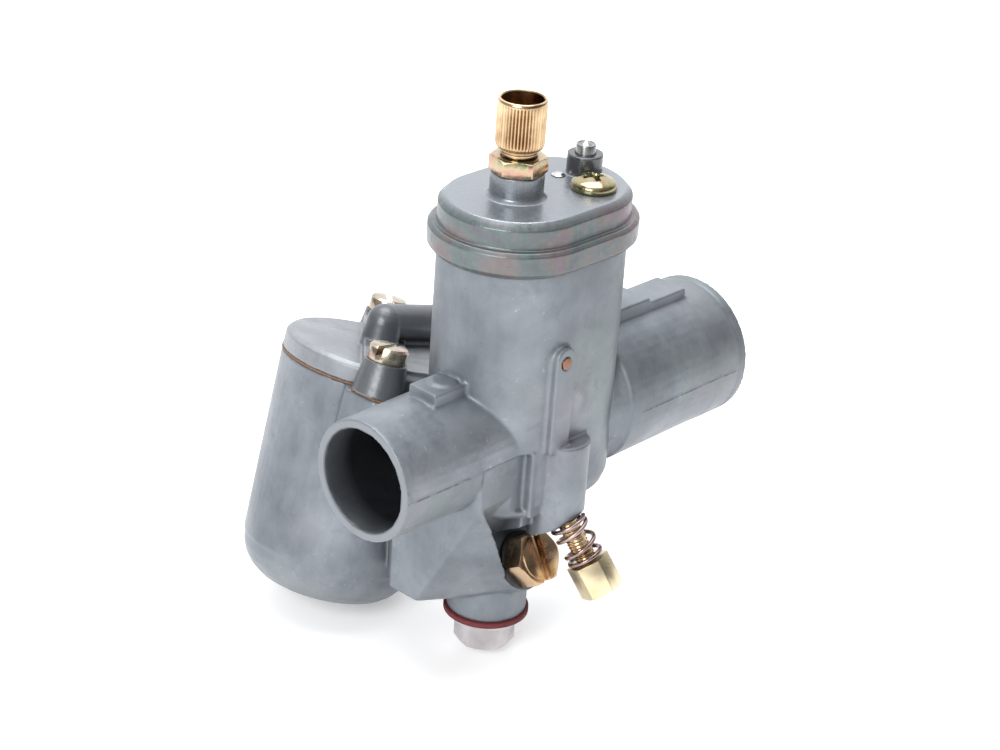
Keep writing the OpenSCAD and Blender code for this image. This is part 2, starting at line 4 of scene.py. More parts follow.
import bmesh
import bpy
import numpy as np
from mathutils import Matrix, Vector


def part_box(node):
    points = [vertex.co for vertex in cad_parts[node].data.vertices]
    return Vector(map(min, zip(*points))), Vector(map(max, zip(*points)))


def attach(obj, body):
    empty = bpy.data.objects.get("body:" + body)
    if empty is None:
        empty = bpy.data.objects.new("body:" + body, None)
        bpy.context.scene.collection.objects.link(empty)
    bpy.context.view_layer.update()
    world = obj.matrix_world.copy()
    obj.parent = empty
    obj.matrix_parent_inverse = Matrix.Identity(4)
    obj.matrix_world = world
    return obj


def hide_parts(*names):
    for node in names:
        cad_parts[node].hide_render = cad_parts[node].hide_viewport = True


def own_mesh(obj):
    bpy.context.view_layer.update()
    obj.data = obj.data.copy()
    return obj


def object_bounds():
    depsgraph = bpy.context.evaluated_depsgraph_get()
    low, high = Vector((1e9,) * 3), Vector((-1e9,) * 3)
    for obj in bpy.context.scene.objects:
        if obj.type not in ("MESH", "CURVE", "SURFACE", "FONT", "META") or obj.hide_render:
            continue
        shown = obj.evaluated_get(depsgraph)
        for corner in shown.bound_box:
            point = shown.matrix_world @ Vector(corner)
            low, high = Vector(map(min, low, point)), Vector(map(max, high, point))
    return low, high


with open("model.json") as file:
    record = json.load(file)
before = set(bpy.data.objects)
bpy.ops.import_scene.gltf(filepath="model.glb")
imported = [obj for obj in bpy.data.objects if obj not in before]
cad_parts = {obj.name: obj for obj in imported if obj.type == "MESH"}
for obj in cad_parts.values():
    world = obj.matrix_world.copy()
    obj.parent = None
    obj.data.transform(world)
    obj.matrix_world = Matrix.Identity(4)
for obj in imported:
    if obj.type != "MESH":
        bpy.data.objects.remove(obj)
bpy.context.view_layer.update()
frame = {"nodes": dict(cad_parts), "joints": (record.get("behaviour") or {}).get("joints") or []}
nodes = frame["nodes"]
scene = bpy.context.scene
MM = 0.001

# ---------------------------------------------------------------- places, in metres
body_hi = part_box("body")[1]
slide_lo, slide_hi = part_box("throttle_slide")
SLIDE_X = (slide_lo.x + slide_hi.x) / 2
joints = {j["name"]: j for j in frame["joints"]}


def basis(origin, z, x):
    """Matrix whose Z axis is z and whose X axis lies in the plane of z and x."""
    z = Vector(z).normalized()
    y = z.cross(Vector(x)).normalized()
    m = Matrix((y.cross(z), y, z)).transposed().to_4x4()
    m.translation = Vector(origin)
    return m


LID_UP = Vector(joints["inlet_needle_slide"]["axis"]).normalized()
LID_A = Vector((0, 1, 0)).cross(LID_UP)
HINGE_A, HINGE_DOWN = 9.5 * MM, 8.5 * MM
lid_origin = Vector(joints["float_hinge"]["pos_m"]) - LID_A * HINGE_A + LID_UP * HINGE_DOWN
STOP = basis(joints["stop_screw_turn"]["pos_m"], joints["stop_screw_turn"]["axis"], (1, 0, 0))
SLIDE_AXIS = Matrix.Translation((SLIDE_X, 0, 0))


# ---------------------------------------------------------------- node helpers
class Nodes:
    """A short way to write a material's node tree."""

    def __init__(self, name):
        self.mat = bpy.data.materials.new(name)
        self.mat.use_nodes = True
        self.tree = self.mat.node_tree
        self.tree.nodes.clear()
        self.out = self.tree.nodes.new("ShaderNodeOutputMaterial")
        self.bsdf = self.tree.nodes.new("ShaderNodeBsdfPrincipled")
        self.tree.links.new(self.bsdf.outputs[0], self.out.inputs[0])
        self.coord = self.tree.nodes.new("ShaderNodeTexCoord").outputs["Object"]

    def put(self, socket, value):
        if isinstance(value, bpy.types.NodeSocket):
            self.tree.links.new(value, socket)
        elif isinstance(value, tuple) and len(value) == 3 and socket.type == "RGBA":
            socket.default_value = (*value, 1)
        else:
            socket.default_value = value

    def noise(self, scale, detail=3.0, rough=0.5, stretch=None, distortion=0.0):
        n = self.tree.nodes.new("ShaderNodeTexNoise")
        n.inputs["Scale"].default_value = scale
        n.inputs["Detail"].default_value = detail
        n.inputs["Roughness"].default_value = rough
        n.inputs["Distortion"].default_value = distortion
        vec = self.coord
        if stretch:
            m = self.tree.nodes.new("ShaderNodeMapping")
            m.inputs["Scale"].default_value = stretch
            self.put(m.inputs["Vector"], self.coord)
            vec = m.outputs[0]
        self.put(n.inputs["Vector"], vec)
        return n.outputs["Fac"]

    def ramp(self, fac, stops):
        r = self.tree.nodes.new("ShaderNodeValToRGB")
        while len(r.color_ramp.elements) < len(stops):
            r.color_ramp.elements.new(0.5)
        for e, (pos, col) in zip(r.color_ramp.elements, stops):
            e.position = pos
            e.color = (*col, 1) if len(col) == 3 else col
        self.put(r.inputs[0], fac)
        return r.outputs[0]

    def range(self, fac, lo, hi, to_lo, to_hi):
        r = self.tree.nodes.new("ShaderNodeMapRange")
        for k, v in zip(("From Min", "From Max", "To Min", "To Max"), (lo, hi, to_lo, to_hi)):
            r.inputs[k].default_value = v
        self.put(r.inputs["Value"], fac)
        return r.outputs[0]

    def math(self, op, a, b=0.0):
        m = self.tree.nodes.new("ShaderNodeMath")
        m.operation = op
        self.put(m.inputs[0], a)
        self.put(m.inputs[1], b)
        return m.outputs[0]

    def times(self, a, b):
        return self.math("MULTIPLY", a, b)

    def blend(self, a, b, share):
        """share of a and the rest of b."""
        return self.math("ADD", self.times(a, share), self.times(b, 1 - share))

    def mix(self, fac, a, b):
        m = self.tree.nodes.new("ShaderNodeMix")
        m.data_type = "RGBA"
        self.put(m.inputs[0], fac)
        self.put(m.inputs[6], a)
        self.put(m.inputs[7], b)
        return m.outputs[2]

    def xyz(self):
        s = self.tree.nodes.new("ShaderNodeSeparateXYZ")
        self.put(s.inputs[0], self.coord)
        return s.outputs

    def along(self, direction, origin):
        """Distance along a direction from a plane through origin."""
        s = self.tree.nodes.new("ShaderNodeVectorMath")
        s.operation = "SUBTRACT"
        self.put(s.inputs[0], self.coord)
        s.inputs[1].default_value = origin
        d = self.tree.nodes.new("ShaderNodeVectorMath")
        d.operation = "DOT_PRODUCT"
        self.put(d.inputs[0], s.outputs[0])
        d.inputs[1].default_value = direction
        return d.outputs["Value"]

    def length(self, a, b):
        return self.math("SQRT", self.math("ADD", self.times(a, a), self.times(b, b)))

    def edges(self, lo, hi):
        g = self.tree.nodes.new("ShaderNodeNewGeometry")
        return self.range(g.outputs["Pointiness"], lo, hi, 0.0, 1.0)

    # painted shade: how occluded a point is, used to darken colour in crevices and corners
    def crevice_shade(self, distance):
        a = self.tree.nodes.new("ShaderNodeAmbientOcclusion")
        a.samples = 6
        a.inputs["Distance"].default_value = distance
        return a.outputs["AO"]

    def bump(self, height, strength, distance, normal=None):
        b = self.tree.nodes.new("ShaderNodeBump")
        b.inputs["Strength"].default_value = strength
        b.inputs["Distance"].default_value = distance
        self.put(b.inputs["Height"], height)
        if normal is not None:
            self.put(b.inputs["Normal"], normal)
        return b.outputs[0]

    def finish(self, **sockets):
        for k, v in sockets.items():
            self.put(self.bsdf.inputs[k.replace("_", " ")], v)
        return self.mat


def apply_masks(n, masks, col, rough):
    """Lay each mask's colour and change of roughness over what is there."""
    for mask, colour, change in masks(n) if masks else ():
        col = n.mix(mask, col, colour)
        rough = n.math("ADD", rough, n.times(mask, change))
    return col, rough


def cast_zinc(name, dark, base, light, rough=(0.36, 0.57), metallic=0.5, tint=None, masks=None):
    """Die cast zinc. masks(n) gives (mask, colour, roughness change) for machined areas, dirt and painted
    shade.
    """
    n = Nodes(name)
    broad = n.noise(55, 4, 0.55)
    streak = n.noise(320, 3, 0.6, stretch=(1, 1, 0.35))
    grain = n.noise(2600, 2, 0.6)
    col = n.ramp(broad, [(0.30, dark), (0.5, base), (0.70, light)])
    col = n.mix(n.range(streak, 0.35, 0.7, 0.0, 0.35), col, light)
    green = n.range(n.noise(31, 2, 0.5, distortion=0.8), 0.56, 0.72, 0.0, 0.35)
    col = n.mix(green, col, (0.20, 0.245, 0.225))
    pink = n.range(n.noise(27, 3, 0.6, stretch=(1.3, 0.8, 1)), 0.56, 0.74, 0.0, 0.30)
    col = n.mix(pink, col, (0.255, 0.225, 0.25))
    if tint:
        col = n.mix(n.range(n.noise(38, 2, 0.5, distortion=0.6), 0.5, 0.75, 0.0, 0.5), col, tint)
    scuffs = n.times(n.range(n.noise(900, 2, 0.7), 0.66, 0.74, 0.0, 1.0), n.range(broad, 0.45, 0.6, 0.0, 0.5))
    col = n.mix(scuffs, col, tuple(c * 1.6 for c in light))
    pits = n.range(n.noise(1300, 1, 0.5), 0.26, 0.20, 0.0, 0.35)
    col = n.mix(pits, col, tuple(c * 0.4 for c in dark))
    blotch = n.noise(140, 4, 0.65, distortion=0.4)
    col = n.mix(n.range(blotch, 0.52, 0.68, 0.0, 0.4), col, dark)
    # painted shade: the colour darkens towards near black in crevices and corners by ambient occlusion
    ao = n.crevice_shade(2.2 * MM)
    col = n.mix(n.range(ao, 0.25, 0.85, 0.7, 0.0), col, tuple(c * 0.3 for c in dark))
    r = n.range(n.blend(streak, grain, 0.6), 0.3, 0.7, *rough)
    col, r = apply_masks(n, masks, col, r)
    normal = n.bump(grain, 0.16, 0.12 * MM)
    normal = n.bump(n.noise(700, 3, 0.55), 0.22, 0.25 * MM, normal)
    return n.finish(Base_Color=col, Metallic=metallic, Roughness=r, Normal=normal)


def body_masks(n):
    """Machined faces at both mouths, and painted shade in the bores and inside the air mouth's neck, which no
    light reaches.
    """
    x, y, z = n.xyz()
    axis_r = n.length(y, z)
    mouth = n.range(x, 0.35 * MM, 0.15 * MM, 0.0, 1.0)
    end = n.range(x, body_hi.x - 0.35 * MM, body_hi.x - 0.15 * MM, 0.0, 1.0)
    faces = n.math("MAXIMUM", mouth, end)
    # painted shade: the bores and the neck inside the air mouth turn near black, darker further in
    bore = n.range(axis_r, 10.95 * MM, 10.75 * MM, 0.0, 1.0)
    bore_shade = n.times(bore, n.range(x, 0.4 * MM, 7.0 * MM, 0.35, 0.96))
    bore_shade = n.times(bore_shade, n.range(x, 30 * MM, 29 * MM, 0.0, 1.0))
    neck = n.times(n.range(axis_r, 13.7 * MM, 13.5 * MM, 0.0, 1.0),
                   n.range(x, body_hi.x - 22 * MM, body_hi.x - 20 * MM, 0.0, 1.0))
    neck = n.times(neck, n.range(x, body_hi.x - 0.5 * MM, body_hi.x - 8 * MM, 0.3, 0.95))
    # the parting lines of both tubes hold dirt
    line = n.range(n.math("ABSOLUTE", z), 0.32 * MM, 0.12 * MM, 0.0, 0.6)
    line = n.times(line, n.range(n.noise(420, 3, 0.6), 0.42, 0.56, 0.15, 1.0))
    line = n.times(line, n.range(axis_r, 11.6 * MM, 11.9 * MM, 0.0, 1.0))
    stub = n.range(x, SLIDE_X - 15 * MM, SLIDE_X - 16 * MM, 0.0, 1.0)
    stub = n.times(stub, n.range(axis_r, 13.3 * MM, 13.1 * MM, 0.0, 1.0))
    air = n.range(x, SLIDE_X + 26 * MM, SLIDE_X + 27 * MM, 0.0, 1.0)
    line = n.times(line, n.math("MAXIMUM", stub, air))
    return [(line, (0.035, 0.038, 0.042), 0.1), (faces, (0.185, 0.200, 0.218), -0.05),
            (bore_shade, (0.006, 0.008, 0.011), 0.2), (neck, (0.006, 0.008, 0.011), 0.2)]


screws_lo, screws_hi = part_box("float_cover_screws")
LID_TURN = math.radians(44)
LID_U = LID_A * math.cos(LID_TURN) + Vector((0, math.sin(LID_TURN), 0))
LID_V = Vector((0, math.cos(LID_TURN), 0)) - LID_A * math.sin(LID_TURN)
SCREW_OUT = ((screws_hi.y - screws_lo.y) / 2 - 4 * MM) / math.sin(LID_TURN)


def cover_masks(n):
    """The elbow of the fuel inlet is painted dark, as painted shade and dark reflection; the bosses under the
    lid's screws are painted darker.
    """
    height = n.along(LID_UP, lid_origin)
    beside = n.along((0, 1, 0), lid_origin)
    # painted shade and dark reflection on the inlet elbow
    elbow = n.times(n.range(height, 5.4 * MM, 6.4 * MM, 0.0, 0.8),
                    n.range(n.math("ABSOLUTE", beside), 4.6 * MM, 4.4 * MM, 0.0, 1.0))
    u = n.math("SUBTRACT", n.math("ABSOLUTE", n.along(LID_U, lid_origin)), SCREW_OUT)
    boss = n.range(n.length(u, n.along(LID_V, lid_origin)), 6.2 * MM, 5.3 * MM, 0.0, 0.75)
    boss = n.times(boss, n.range(height, -0.2 * MM, 0.4 * MM, 0.0, 1.0))
    return [(n.math("MAXIMUM", elbow, boss), (0.075, 0.080, 0.088), -0.12)]


def passivated(name, stops, rough=(0.2, 0.42), scale=150, grain_bump=0.1, metallic=0.95, masks=None,
               wear=(0.62, 0.62, 0.58)):
    """Zinc plating whose thin passive film shows in pink, green and yellow."""
    n = Nodes(name)
    film = n.noise(scale, 3, 0.6, distortion=1.2)
    col = n.ramp(film, stops)
    col = n.mix(n.range(n.noise(900, 3, 0.6), 0.45, 0.75, 0.0, 0.35), col, wear)
    r = n.range(n.noise(600, 3, 0.6), 0.3, 0.7, *rough)
    col, r = apply_masks(n, masks, col, r)
    # painted shade: the colour darkens in crevices and corners by ambient occlusion
    ao = n.crevice_shade(1.2 * MM)
    col = n.mix(n.range(ao, 0.2, 0.85, 0.6, 0.0), col, (0.05, 0.045, 0.035))
    return n.finish(Base_Color=col, Metallic=metallic, Roughness=r,
                    Normal=n.bump(n.noise(2200, 3, 0.6), grain_bump, 0.1 * MM))


def turned(name, dark, base, light, rough=(0.14, 0.34), axis="Z", line_bump=0.05, masks=None):
    """Turned metal: fine rings round an axis, with slight staining."""
    n = Nodes(name)
    across, along = 25, 9000
    stretch = {"Y": (across, along, across), "Z": (across, across, along)}[axis]
    ring = n.noise(1.0, 2, 0.6, stretch=stretch)
    stain = n.noise(170, 3, 0.5, distortion=0.3)
    col = n.ramp(stain, [(0.3, dark), (0.5, base), (0.72, light)])
    col = n.mix(n.times(n.edges(0.51, 0.58), 0.5), col, light)
    # painted shade: the colour darkens in crevices and corners by ambient occlusion
    ao = n.crevice_shade(1.0 * MM)
    col = n.mix(n.range(ao, 0.15, 0.85, 0.75, 0.0), col, tuple(c * 0.15 for c in dark))
    r = n.range(n.blend(stain, ring, 0.6), 0.3, 0.7, *rough)
    col, r = apply_masks(n, masks, col, r)
    normal = n.bump(ring, line_bump, 0.05 * MM)
    normal = n.bump(n.noise(1800, 2, 0.5), 0.02, 0.05 * MM, normal)
    return n.finish(Base_Color=col, Metallic=1.0, Roughness=r, Normal=normal)


def fibre(name, dark, base, rough=0.8):
    n = Nodes(name)
    f = n.noise(1500, 4, 0.7, stretch=(1, 1, 2.5))
    col = n.ramp(f, [(0.3, dark), (0.7, base)])
    return n.finish(Base_Color=col, Roughness=n.range(f, 0.3, 0.7, rough - 0.12, rough + 0.1),
                    Normal=n.bump(f, 0.4, 0.15 * MM))


# ---------------------------------------------------------------- materials
ZINC = cast_zinc("cast_zinc", (0.110, 0.125, 0.142), (0.165, 0.183, 0.204), (0.245, 0.265, 0.290),
                 masks=body_masks)
COVER = cast_zinc("cast_zinc_cover", (0.150, 0.164, 0.180), (0.205, 0.220, 0.238), (0.29, 0.302, 0.32),
                  tint=(0.23, 0.23, 0.225), masks=cover_masks)
CAP_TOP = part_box("cap_screw")[1].z - 2.7 * MM


def cap_masks(n):
    """The cap's flat top is plain; its bosses are darker."""
    x, y, z = n.xyz()
    flat = n.range(z, CAP_TOP - 0.9 * MM, CAP_TOP - 0.2 * MM, 0.0, 0.8)
    boss = n.range(z, CAP_TOP + 0.3 * MM, CAP_TOP + 1.0 * MM, 0.0, 0.85)
    boss = n.times(boss, n.range(x, SLIDE_X + 11 * MM, SLIDE_X + 13 * MM, 0.35, 1.0))
    return [(flat, (0.245, 0.265, 0.292), -0.06), (boss, (0.085, 0.088, 0.095), -0.08)]


CAP = passivated("passivated_cap",
                 [(0.30, (0.118, 0.105, 0.130)), (0.42, (0.105, 0.137, 0.132)), (0.50, (0.128, 0.136, 0.145)),
                  (0.58, (0.150, 0.136, 0.128)), (0.68, (0.160, 0.112, 0.145))],
                 rough=(0.26, 0.44), scale=70, grain_bump=0.22, metallic=0.6, masks=cap_masks,
                 wear=(0.19, 0.195, 0.205))
YELLOW_ZINC = passivated("yellow_zinc",
                         [(0.28, (0.40, 0.18, 0.18)), (0.40, (0.46, 0.27, 0.20)), (0.50, (0.46, 0.36, 0.22)),
                          (0.60, (0.30, 0.33, 0.19)), (0.72, (0.48, 0.22, 0.25))],
                         rough=(0.14, 0.32), scale=260, wear=(0.5, 0.45, 0.33))
BRASS = turned("brass", (0.40, 0.24, 0.10), (0.60, 0.40, 0.18), (0.80, 0.60, 0.34), axis="Z")
COPPER_BRASS = turned("adjuster_brass", (0.27, 0.15, 0.08), (0.44, 0.295, 0.165), (0.70, 0.54, 0.34),
                      rough=(0.12, 0.28))
SCREW_ZINC = passivated("aged_yellow_zinc",
                        [(0.28, (0.27, 0.16, 0.15)), (0.42, (0.38, 0.27, 0.21)), (0.52, (0.42, 0.37, 0.28)),
                         (0.62, (0.24, 0.25, 0.17)), (0.74, (0.38, 0.23, 0.22))],
                        rough=(0.16, 0.34), scale=200, wear=(0.48, 0.44, 0.36))
OLIVE_ZINC = passivated("olive_zinc",
                        [(0.28, (0.30, 0.20, 0.13)), (0.42, (0.34, 0.27, 0.16)), (0.52, (0.30, 0.29, 0.16)),
                         (0.62, (0.20, 0.21, 0.12)), (0.74, (0.38, 0.29, 0.21))],
                        rough=(0.08, 0.22), scale=220, wear=(0.46, 0.43, 0.30))
DARK_BRASS = turned("dark_brass", (0.34, 0.21, 0.12), (0.50, 0.34, 0.21), (0.70, 0.52, 0.34), axis="Y",
                    rough=(0.20, 0.30), line_bump=0.0)
COPPER = turned("dark_copper", (0.13, 0.060, 0.038), (0.25, 0.125, 0.080), (0.38, 0.22, 0.15), axis="Y",
                rough=(0.28, 0.42))
PALE_BRASS = turned("pale_brass", (0.44, 0.35, 0.20), (0.58, 0.48, 0.30), (0.70, 0.60, 0.40), axis="Y",
                    rough=(0.20, 0.32), line_bump=0.02)
STOP_GAP = 9.4  # length of the stop screw's spring, mm


def stop_masks(n):
    """The stop screw's shank under its spring has darkened."""
    height = n.along(STOP.col[2].to_3d(), STOP.translation)
    shank = n.range(height, (STOP_GAP - 0.2) * MM, (STOP_GAP - 0.5) * MM, 0.0, 1.0)
    return [(shank, (0.30, 0.165, 0.08), 0.0)]


STOP_BRASS = turned("stop_screw_brass", (0.50, 0.40, 0.23), (0.62, 0.515, 0.32), (0.72, 0.62, 0.42),
                    axis="Y", rough=(0.24, 0.34), line_bump=0.01, masks=stop_masks)
PIN_STEEL = turned("pin_steel", (0.18, 0.185, 0.19), (0.28, 0.285, 0.29), (0.46, 0.46, 0.46), axis="Z",
                   rough=(0.2, 0.34))
STEEL = turned("steel", (0.40, 0.41, 0.42), (0.56, 0.57, 0.58), (0.8, 0.8, 0.8), axis="Z")
SPRING = turned("spring_steel", (0.10, 0.065, 0.060), (0.22, 0.15, 0.14), (0.46, 0.35, 0.33), axis="Z",
                rough=(0.2, 0.36))
PLUG = turned("plug_aluminium", (0.44, 0.42, 0.43), (0.56, 0.53, 0.545), (0.70, 0.67, 0.68), axis="Z",
              rough=(0.22, 0.44))
SLIDE = turned("slide_metal", (0.12, 0.13, 0.14), (0.20, 0.21, 0.22), (0.36, 0.37, 0.38), axis="Z")
RED_FIBRE = fibre("red_fibre", (0.07, 0.010, 0.012), (0.18, 0.025, 0.030))
PAPER = fibre("gasket_paper", (0.075, 0.042, 0.026), (0.20, 0.115, 0.068))
DARK_PAPER = fibre("dark_gasket_paper", (0.05, 0.04, 0.032), (0.10, 0.08, 0.06))
RUBBER = fibre("nitrile_rubber", (0.008, 0.008, 0.009), (0.022, 0.022, 0.024), rough=0.55)
PLASTIC = fibre("float_plastic", (0.62, 0.60, 0.54), (0.74, 0.72, 0.66), rough=0.5)

NODE_MATERIAL = {
    "body": ZINC, "chamber_cap": CAP, "cap_gasket": DARK_PAPER, "cap_screw": OLIVE_ZINC, "cap_pin": STEEL,
    "cable_adjuster": COPPER_BRASS, "adjuster_locknut": YELLOW_ZINC, "throttle_slide": SLIDE,
    "jet_needle": PALE_BRASS, "needle_clip": STEEL, "throttle_spring": STEEL, "slide_guide_pin": COPPER,
    "starter_plunger": BRASS, "starter_pin": PIN_STEEL, "starter_spring": STEEL, "needle_jet": BRASS,
    "main_jet": BRASS, "bottom_plug": PLUG, "bottom_plug_gasket": RED_FIBRE, "idle_jet": DARK_BRASS,
    "idle_jet_seal": RUBBER, "throttle_stop_screw": STOP_BRASS, "throttle_stop_spring": SPRING,
    "float_cover": COVER, "float_cover_gasket": PAPER, "float_cover_screws": SCREW_ZINC,
    "fuel_nipple": PALE_BRASS, "needle_seat": BRASS, "float_needle": STEEL, "float_body": PLASTIC,
    "float_hinge_pin": STEEL,
}


def give(obj, mat):
    obj.data.materials.clear()
    obj.data.materials.append(mat)


for name, obj in nodes.items():
    give(obj, NODE_MATERIAL[name])
    for p in obj.data.polygons:
        p.use_smooth = True
    if name in ("body", "chamber_cap", "float_cover"):
        continue
    weld = obj.modifiers.new("weld", "WELD")
    weld.merge_threshold = 0.004 * MM
    bev = obj.modifiers.new("edge", "BEVEL")
    bev.width = 0.09 * MM
    bev.segments = 2
    bev.limit_method = "ANGLE"
    bev.angle_limit = math.radians(35)
    bev.harden_normals = True


# ---------------------------------------------------------------- mesh makers
def solid(name, verts, faces, mat, body, sharp, place, stands_for):
    mesh = bpy.data.meshes.new(name)
    mesh.from_pydata([tuple(v) for v in verts], [], faces)
    mesh.validate()
    mesh.transform(place)
    bm = bmesh.new()
    bm.from_mesh(mesh)
    bmesh.ops.recalc_face_normals(bm, faces=bm.faces)
    bm.to_mesh(mesh)
    bm.free()
    for poly in mesh.polygons:
        poly.use_smooth = True
    mesh.set_sharp_from_angle(angle=math.radians(sharp))
    obj = bpy.data.objects.new(name, mesh)
    scene.collection.objects.link(obj)
    give(obj, mat)
    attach(obj, body)
    if stands_for:
        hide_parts(*stands_for)
    return obj


def lathe(name, profile, mat, body, place, around=96, shape=None, loop=False, sharp=32, stands_for=()):
    """A turned piece. profile lists (radius, height) in mm from one pole to the other, or round a loop.
    shape(radius, height, angle) may change a point's radius and height."""
    verts, rings = [], []
    for r, z in profile:
        if r < 1e-6:
            rings.append([len(verts)])
            verts.append((0, 0, z * MM))
            continue
        ring = []
        for k in range(around):
            a = 2 * math.pi * k / around
            rr, zz = shape(r, z, a) if shape else (r, z)
            ring.append(len(verts))
            verts.append((rr * math.cos(a) * MM, rr * math.sin(a) * MM, zz * MM))
        rings.append(ring)
    faces = []
    for lower, upper in zip(rings, rings[1:] + (rings[:1] if loop else [])):
        for k in range(around):
            n = (k + 1) % around
            corners = [(lower, k), (lower, n), (upper, n), (upper, k)]
            quad = list(dict.fromkeys(ring[i % len(ring)] for ring, i in corners))
            if len(quad) > 2:
                faces.append(quad)
    return solid(name, verts, faces, mat, body, sharp, place, stands_for)


def spring(name, mat, body, place, mean_r, wire, length, turns, stands_for, start=0.0):
    """A compression spring of round wire, its end turns closed. Sizes in mm."""
    sides, per = 12, 40
    steps = int(turns * per)
    pitch = (length - 3 * wire) / (turns - 2)
    verts, faces = [], []
    for i in range(steps + 1):
        t = i / per
        if t < 1:
            z = t * wire
        elif t > turns - 1:
            z = length - wire - (turns - t) * wire
        else:
            z = wire + (t - 1) * pitch
        a = 2 * math.pi * t + start
        taper = min(1.0, 0.55 + t * 2.2, 0.55 + (turns - t) * 2.2)
        for k in range(sides):
            b = 2 * math.pi * k / sides
            r = mean_r + wire / 2 * math.cos(b)
            zz = wire / 2 + z + wire / 2 * math.sin(b) * taper
            verts.append((r * math.cos(a) * MM, r * math.sin(a) * MM, zz * MM))
    for i in range(steps):
        for k in range(sides):
            n = (k + 1) % sides
            faces.append([i * sides + k, (i + 1) * sides + k, (i + 1) * sides + n, i * sides + n])
    faces.append(list(range(sides)))
    faces.append([steps * sides + k for k in range(sides)])
    return solid(name, verts, faces, mat, body, 60, place, stands_for)


# ---------------------------------------------------------------- cast pieces
def apply_modifiers(obj):
    """Replace an object's mesh with what its modifiers make of it."""
    before = obj.data
    deps = bpy.context.evaluated_depsgraph_get()
    obj.data = bpy.data.meshes.new_from_object(obj.evaluated_get(deps))
    obj.modifiers.clear()
    bpy.data.meshes.remove(before)


def cast_copy(node, name, voxel, ratio, rounds=3, factor=0.5, edit=None):
    """A CAD node as a casting: its edges rounded and its inner corners filleted."""
    bm = bmesh.new()
    bm.from_mesh(nodes[node].data)
    bmesh.ops.remove_doubles(bm, verts=bm.verts, dist=0.002 * MM)
    mesh = bpy.data.meshes.new(name)
    bm.to_mesh(mesh)
    bm.free()
    obj = bpy.data.objects.new(name, mesh)
    scene.collection.objects.link(obj)
    m = obj.modifiers.new("remesh", "REMESH")
    m.mode = "VOXEL"
    m.voxel_size = voxel
    s = obj.modifiers.new("smooth", "SMOOTH")
    s.factor = factor
    s.iterations = rounds
    apply_modifiers(obj)
    if edit:
        co = np.zeros(len(obj.data.vertices) * 3)
        obj.data.vertices.foreach_get("co", co)
        obj.data.vertices.foreach_set("co", edit(co.reshape(-1, 3)).reshape(-1))
        obj.data.update()
    obj.modifiers.new("fewer", "DECIMATE").ratio = ratio
    apply_modifiers(obj)
    for p in obj.data.polygons:
        p.use_smooth = True
    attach(obj, "carburetor")
    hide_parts(node)
    return obj


def bump_to(x, width):
    return np.exp(-((x / width) ** 2))


def work_body(co):
    """Parting lines along both tubes, and the groove behind the neck's lip."""
    x, y, z = co[:, 0], co[:, 1], co[:, 2]
    r = np.hypot(y, z)
    out = np.stack([np.zeros_like(x), y / r, z / r], 1)
    end = body_hi.x
    on_neck = (r > 14.6 * MM) & (x > SLIDE_X + 27 * MM)
    on_stub = (r > 11.8 * MM) & (r < 13.4 * MM) & (x < SLIDE_X - 15.5 * MM) & (x > 1.0 * MM)
    seam = bump_to(z, 0.22 * MM) * 0.16 * MM
    wave = 1 + 0.5 * np.sin(x * 2100) * np.sin(x * 830 + 1)
    co = co + out * ((on_stub | (on_neck & (x < end - 3 * MM))) * seam * wave)[:, None]
    groove = -bump_to(x - (end - 2.3 * MM), 0.5 * MM) * 0.25 * MM
    co = co + out * (on_neck * groove)[:, None]
    return co


casting = cast_copy("body", "body_casting", 0.34 * MM, 0.5, edit=work_body)
give(casting, ZINC)
cap = cast_copy("chamber_cap", "cap_casting", 0.2 * MM, 0.4)
give(cap, CAP)
cover = cast_copy("float_cover", "cover_casting", 0.22 * MM, 0.4)
give(cover, COVER)

# ---------------------------------------------------------------- turned pieces and springs
knob_lo, knob_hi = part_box("cable_adjuster")
top, KNURL_R, FLUTES = knob_hi.z / MM, 4.83, 44
low = top - 9.9


def flutes(r, z, a):
    if r < 4.4 or z < low or z > top - 0.9:
        return r, z
    fade = min(1.0, (z - low) / 1.1, (top - 0.9 - z) / 0.3)
    return r - 0.30 * fade * (0.5 + 0.5 * math.cos(FLUTES * a)) ** 1.4, z


neck_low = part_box("adjuster_locknut")[1].z / MM + 0.3
profile = [(1.1, knob_lo.z / MM), (2.95, knob_lo.z / MM), (2.95, neck_low), (3.6, neck_low)]
profile += [(3.6, neck_low + 0.5), (3.42, neck_low + 0.62), (3.42, neck_low + 0.8), (3.6, neck_low + 0.92)]
profile += [(3.6, low), (4.25, low), (4.55, low + 0.25), (4.75, low + 0.7), (KNURL_R, low + 1.2)]
profile += [(KNURL_R, low + 1.2 + k * 0.9) for k in range(1, 8)]
profile += [(KNURL_R, top - 1.2), (KNURL_R - 0.02, top - 0.9), (KNURL_R - 0.05, top - 0.35)]
profile += [(KNURL_R - 0.2, top - 0.1), (KNURL_R - 0.4, top), (4.32, top), (4.15, top - 0.2)]
profile += [(4.15, top - 6.5), (1.1, top - 6.5)]
lathe("adjuster_turned", profile, COPPER_BRASS, "adjuster", SLIDE_AXIS, FLUTES * 8, flutes, True, 40,
      ("cable_adjuster",))

pin_lo, pin_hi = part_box("starter_pin")
head = pin_hi.z / MM - 0.8
profile = [(0, pin_lo.z / MM), (1.2, pin_lo.z / MM), (1.2, head - 7.7), (2.0, head - 7.6)]
profile += [(2.0, head - 0.18), (1.9, head), (1.72, head), (1.6, head - 0.12), (1.25, head - 0.12)]
profile += [(0.12, head + 0.76), (0, head + 0.78)]
lathe("starter_pin_turned", profile, PIN_STEEL, "starter",
      Matrix.Translation(((pin_lo.x + pin_hi.x) / 2, 0, 0)), 64, stands_for=("starter_pin",))

screw_lo, screw_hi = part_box("cap_screw")
screw_x, screw_y = (screw_lo.x + screw_hi.x) / 2, (screw_lo.y + screw_hi.y) / 2
cap_face = screw_hi.z / MM - 2.7


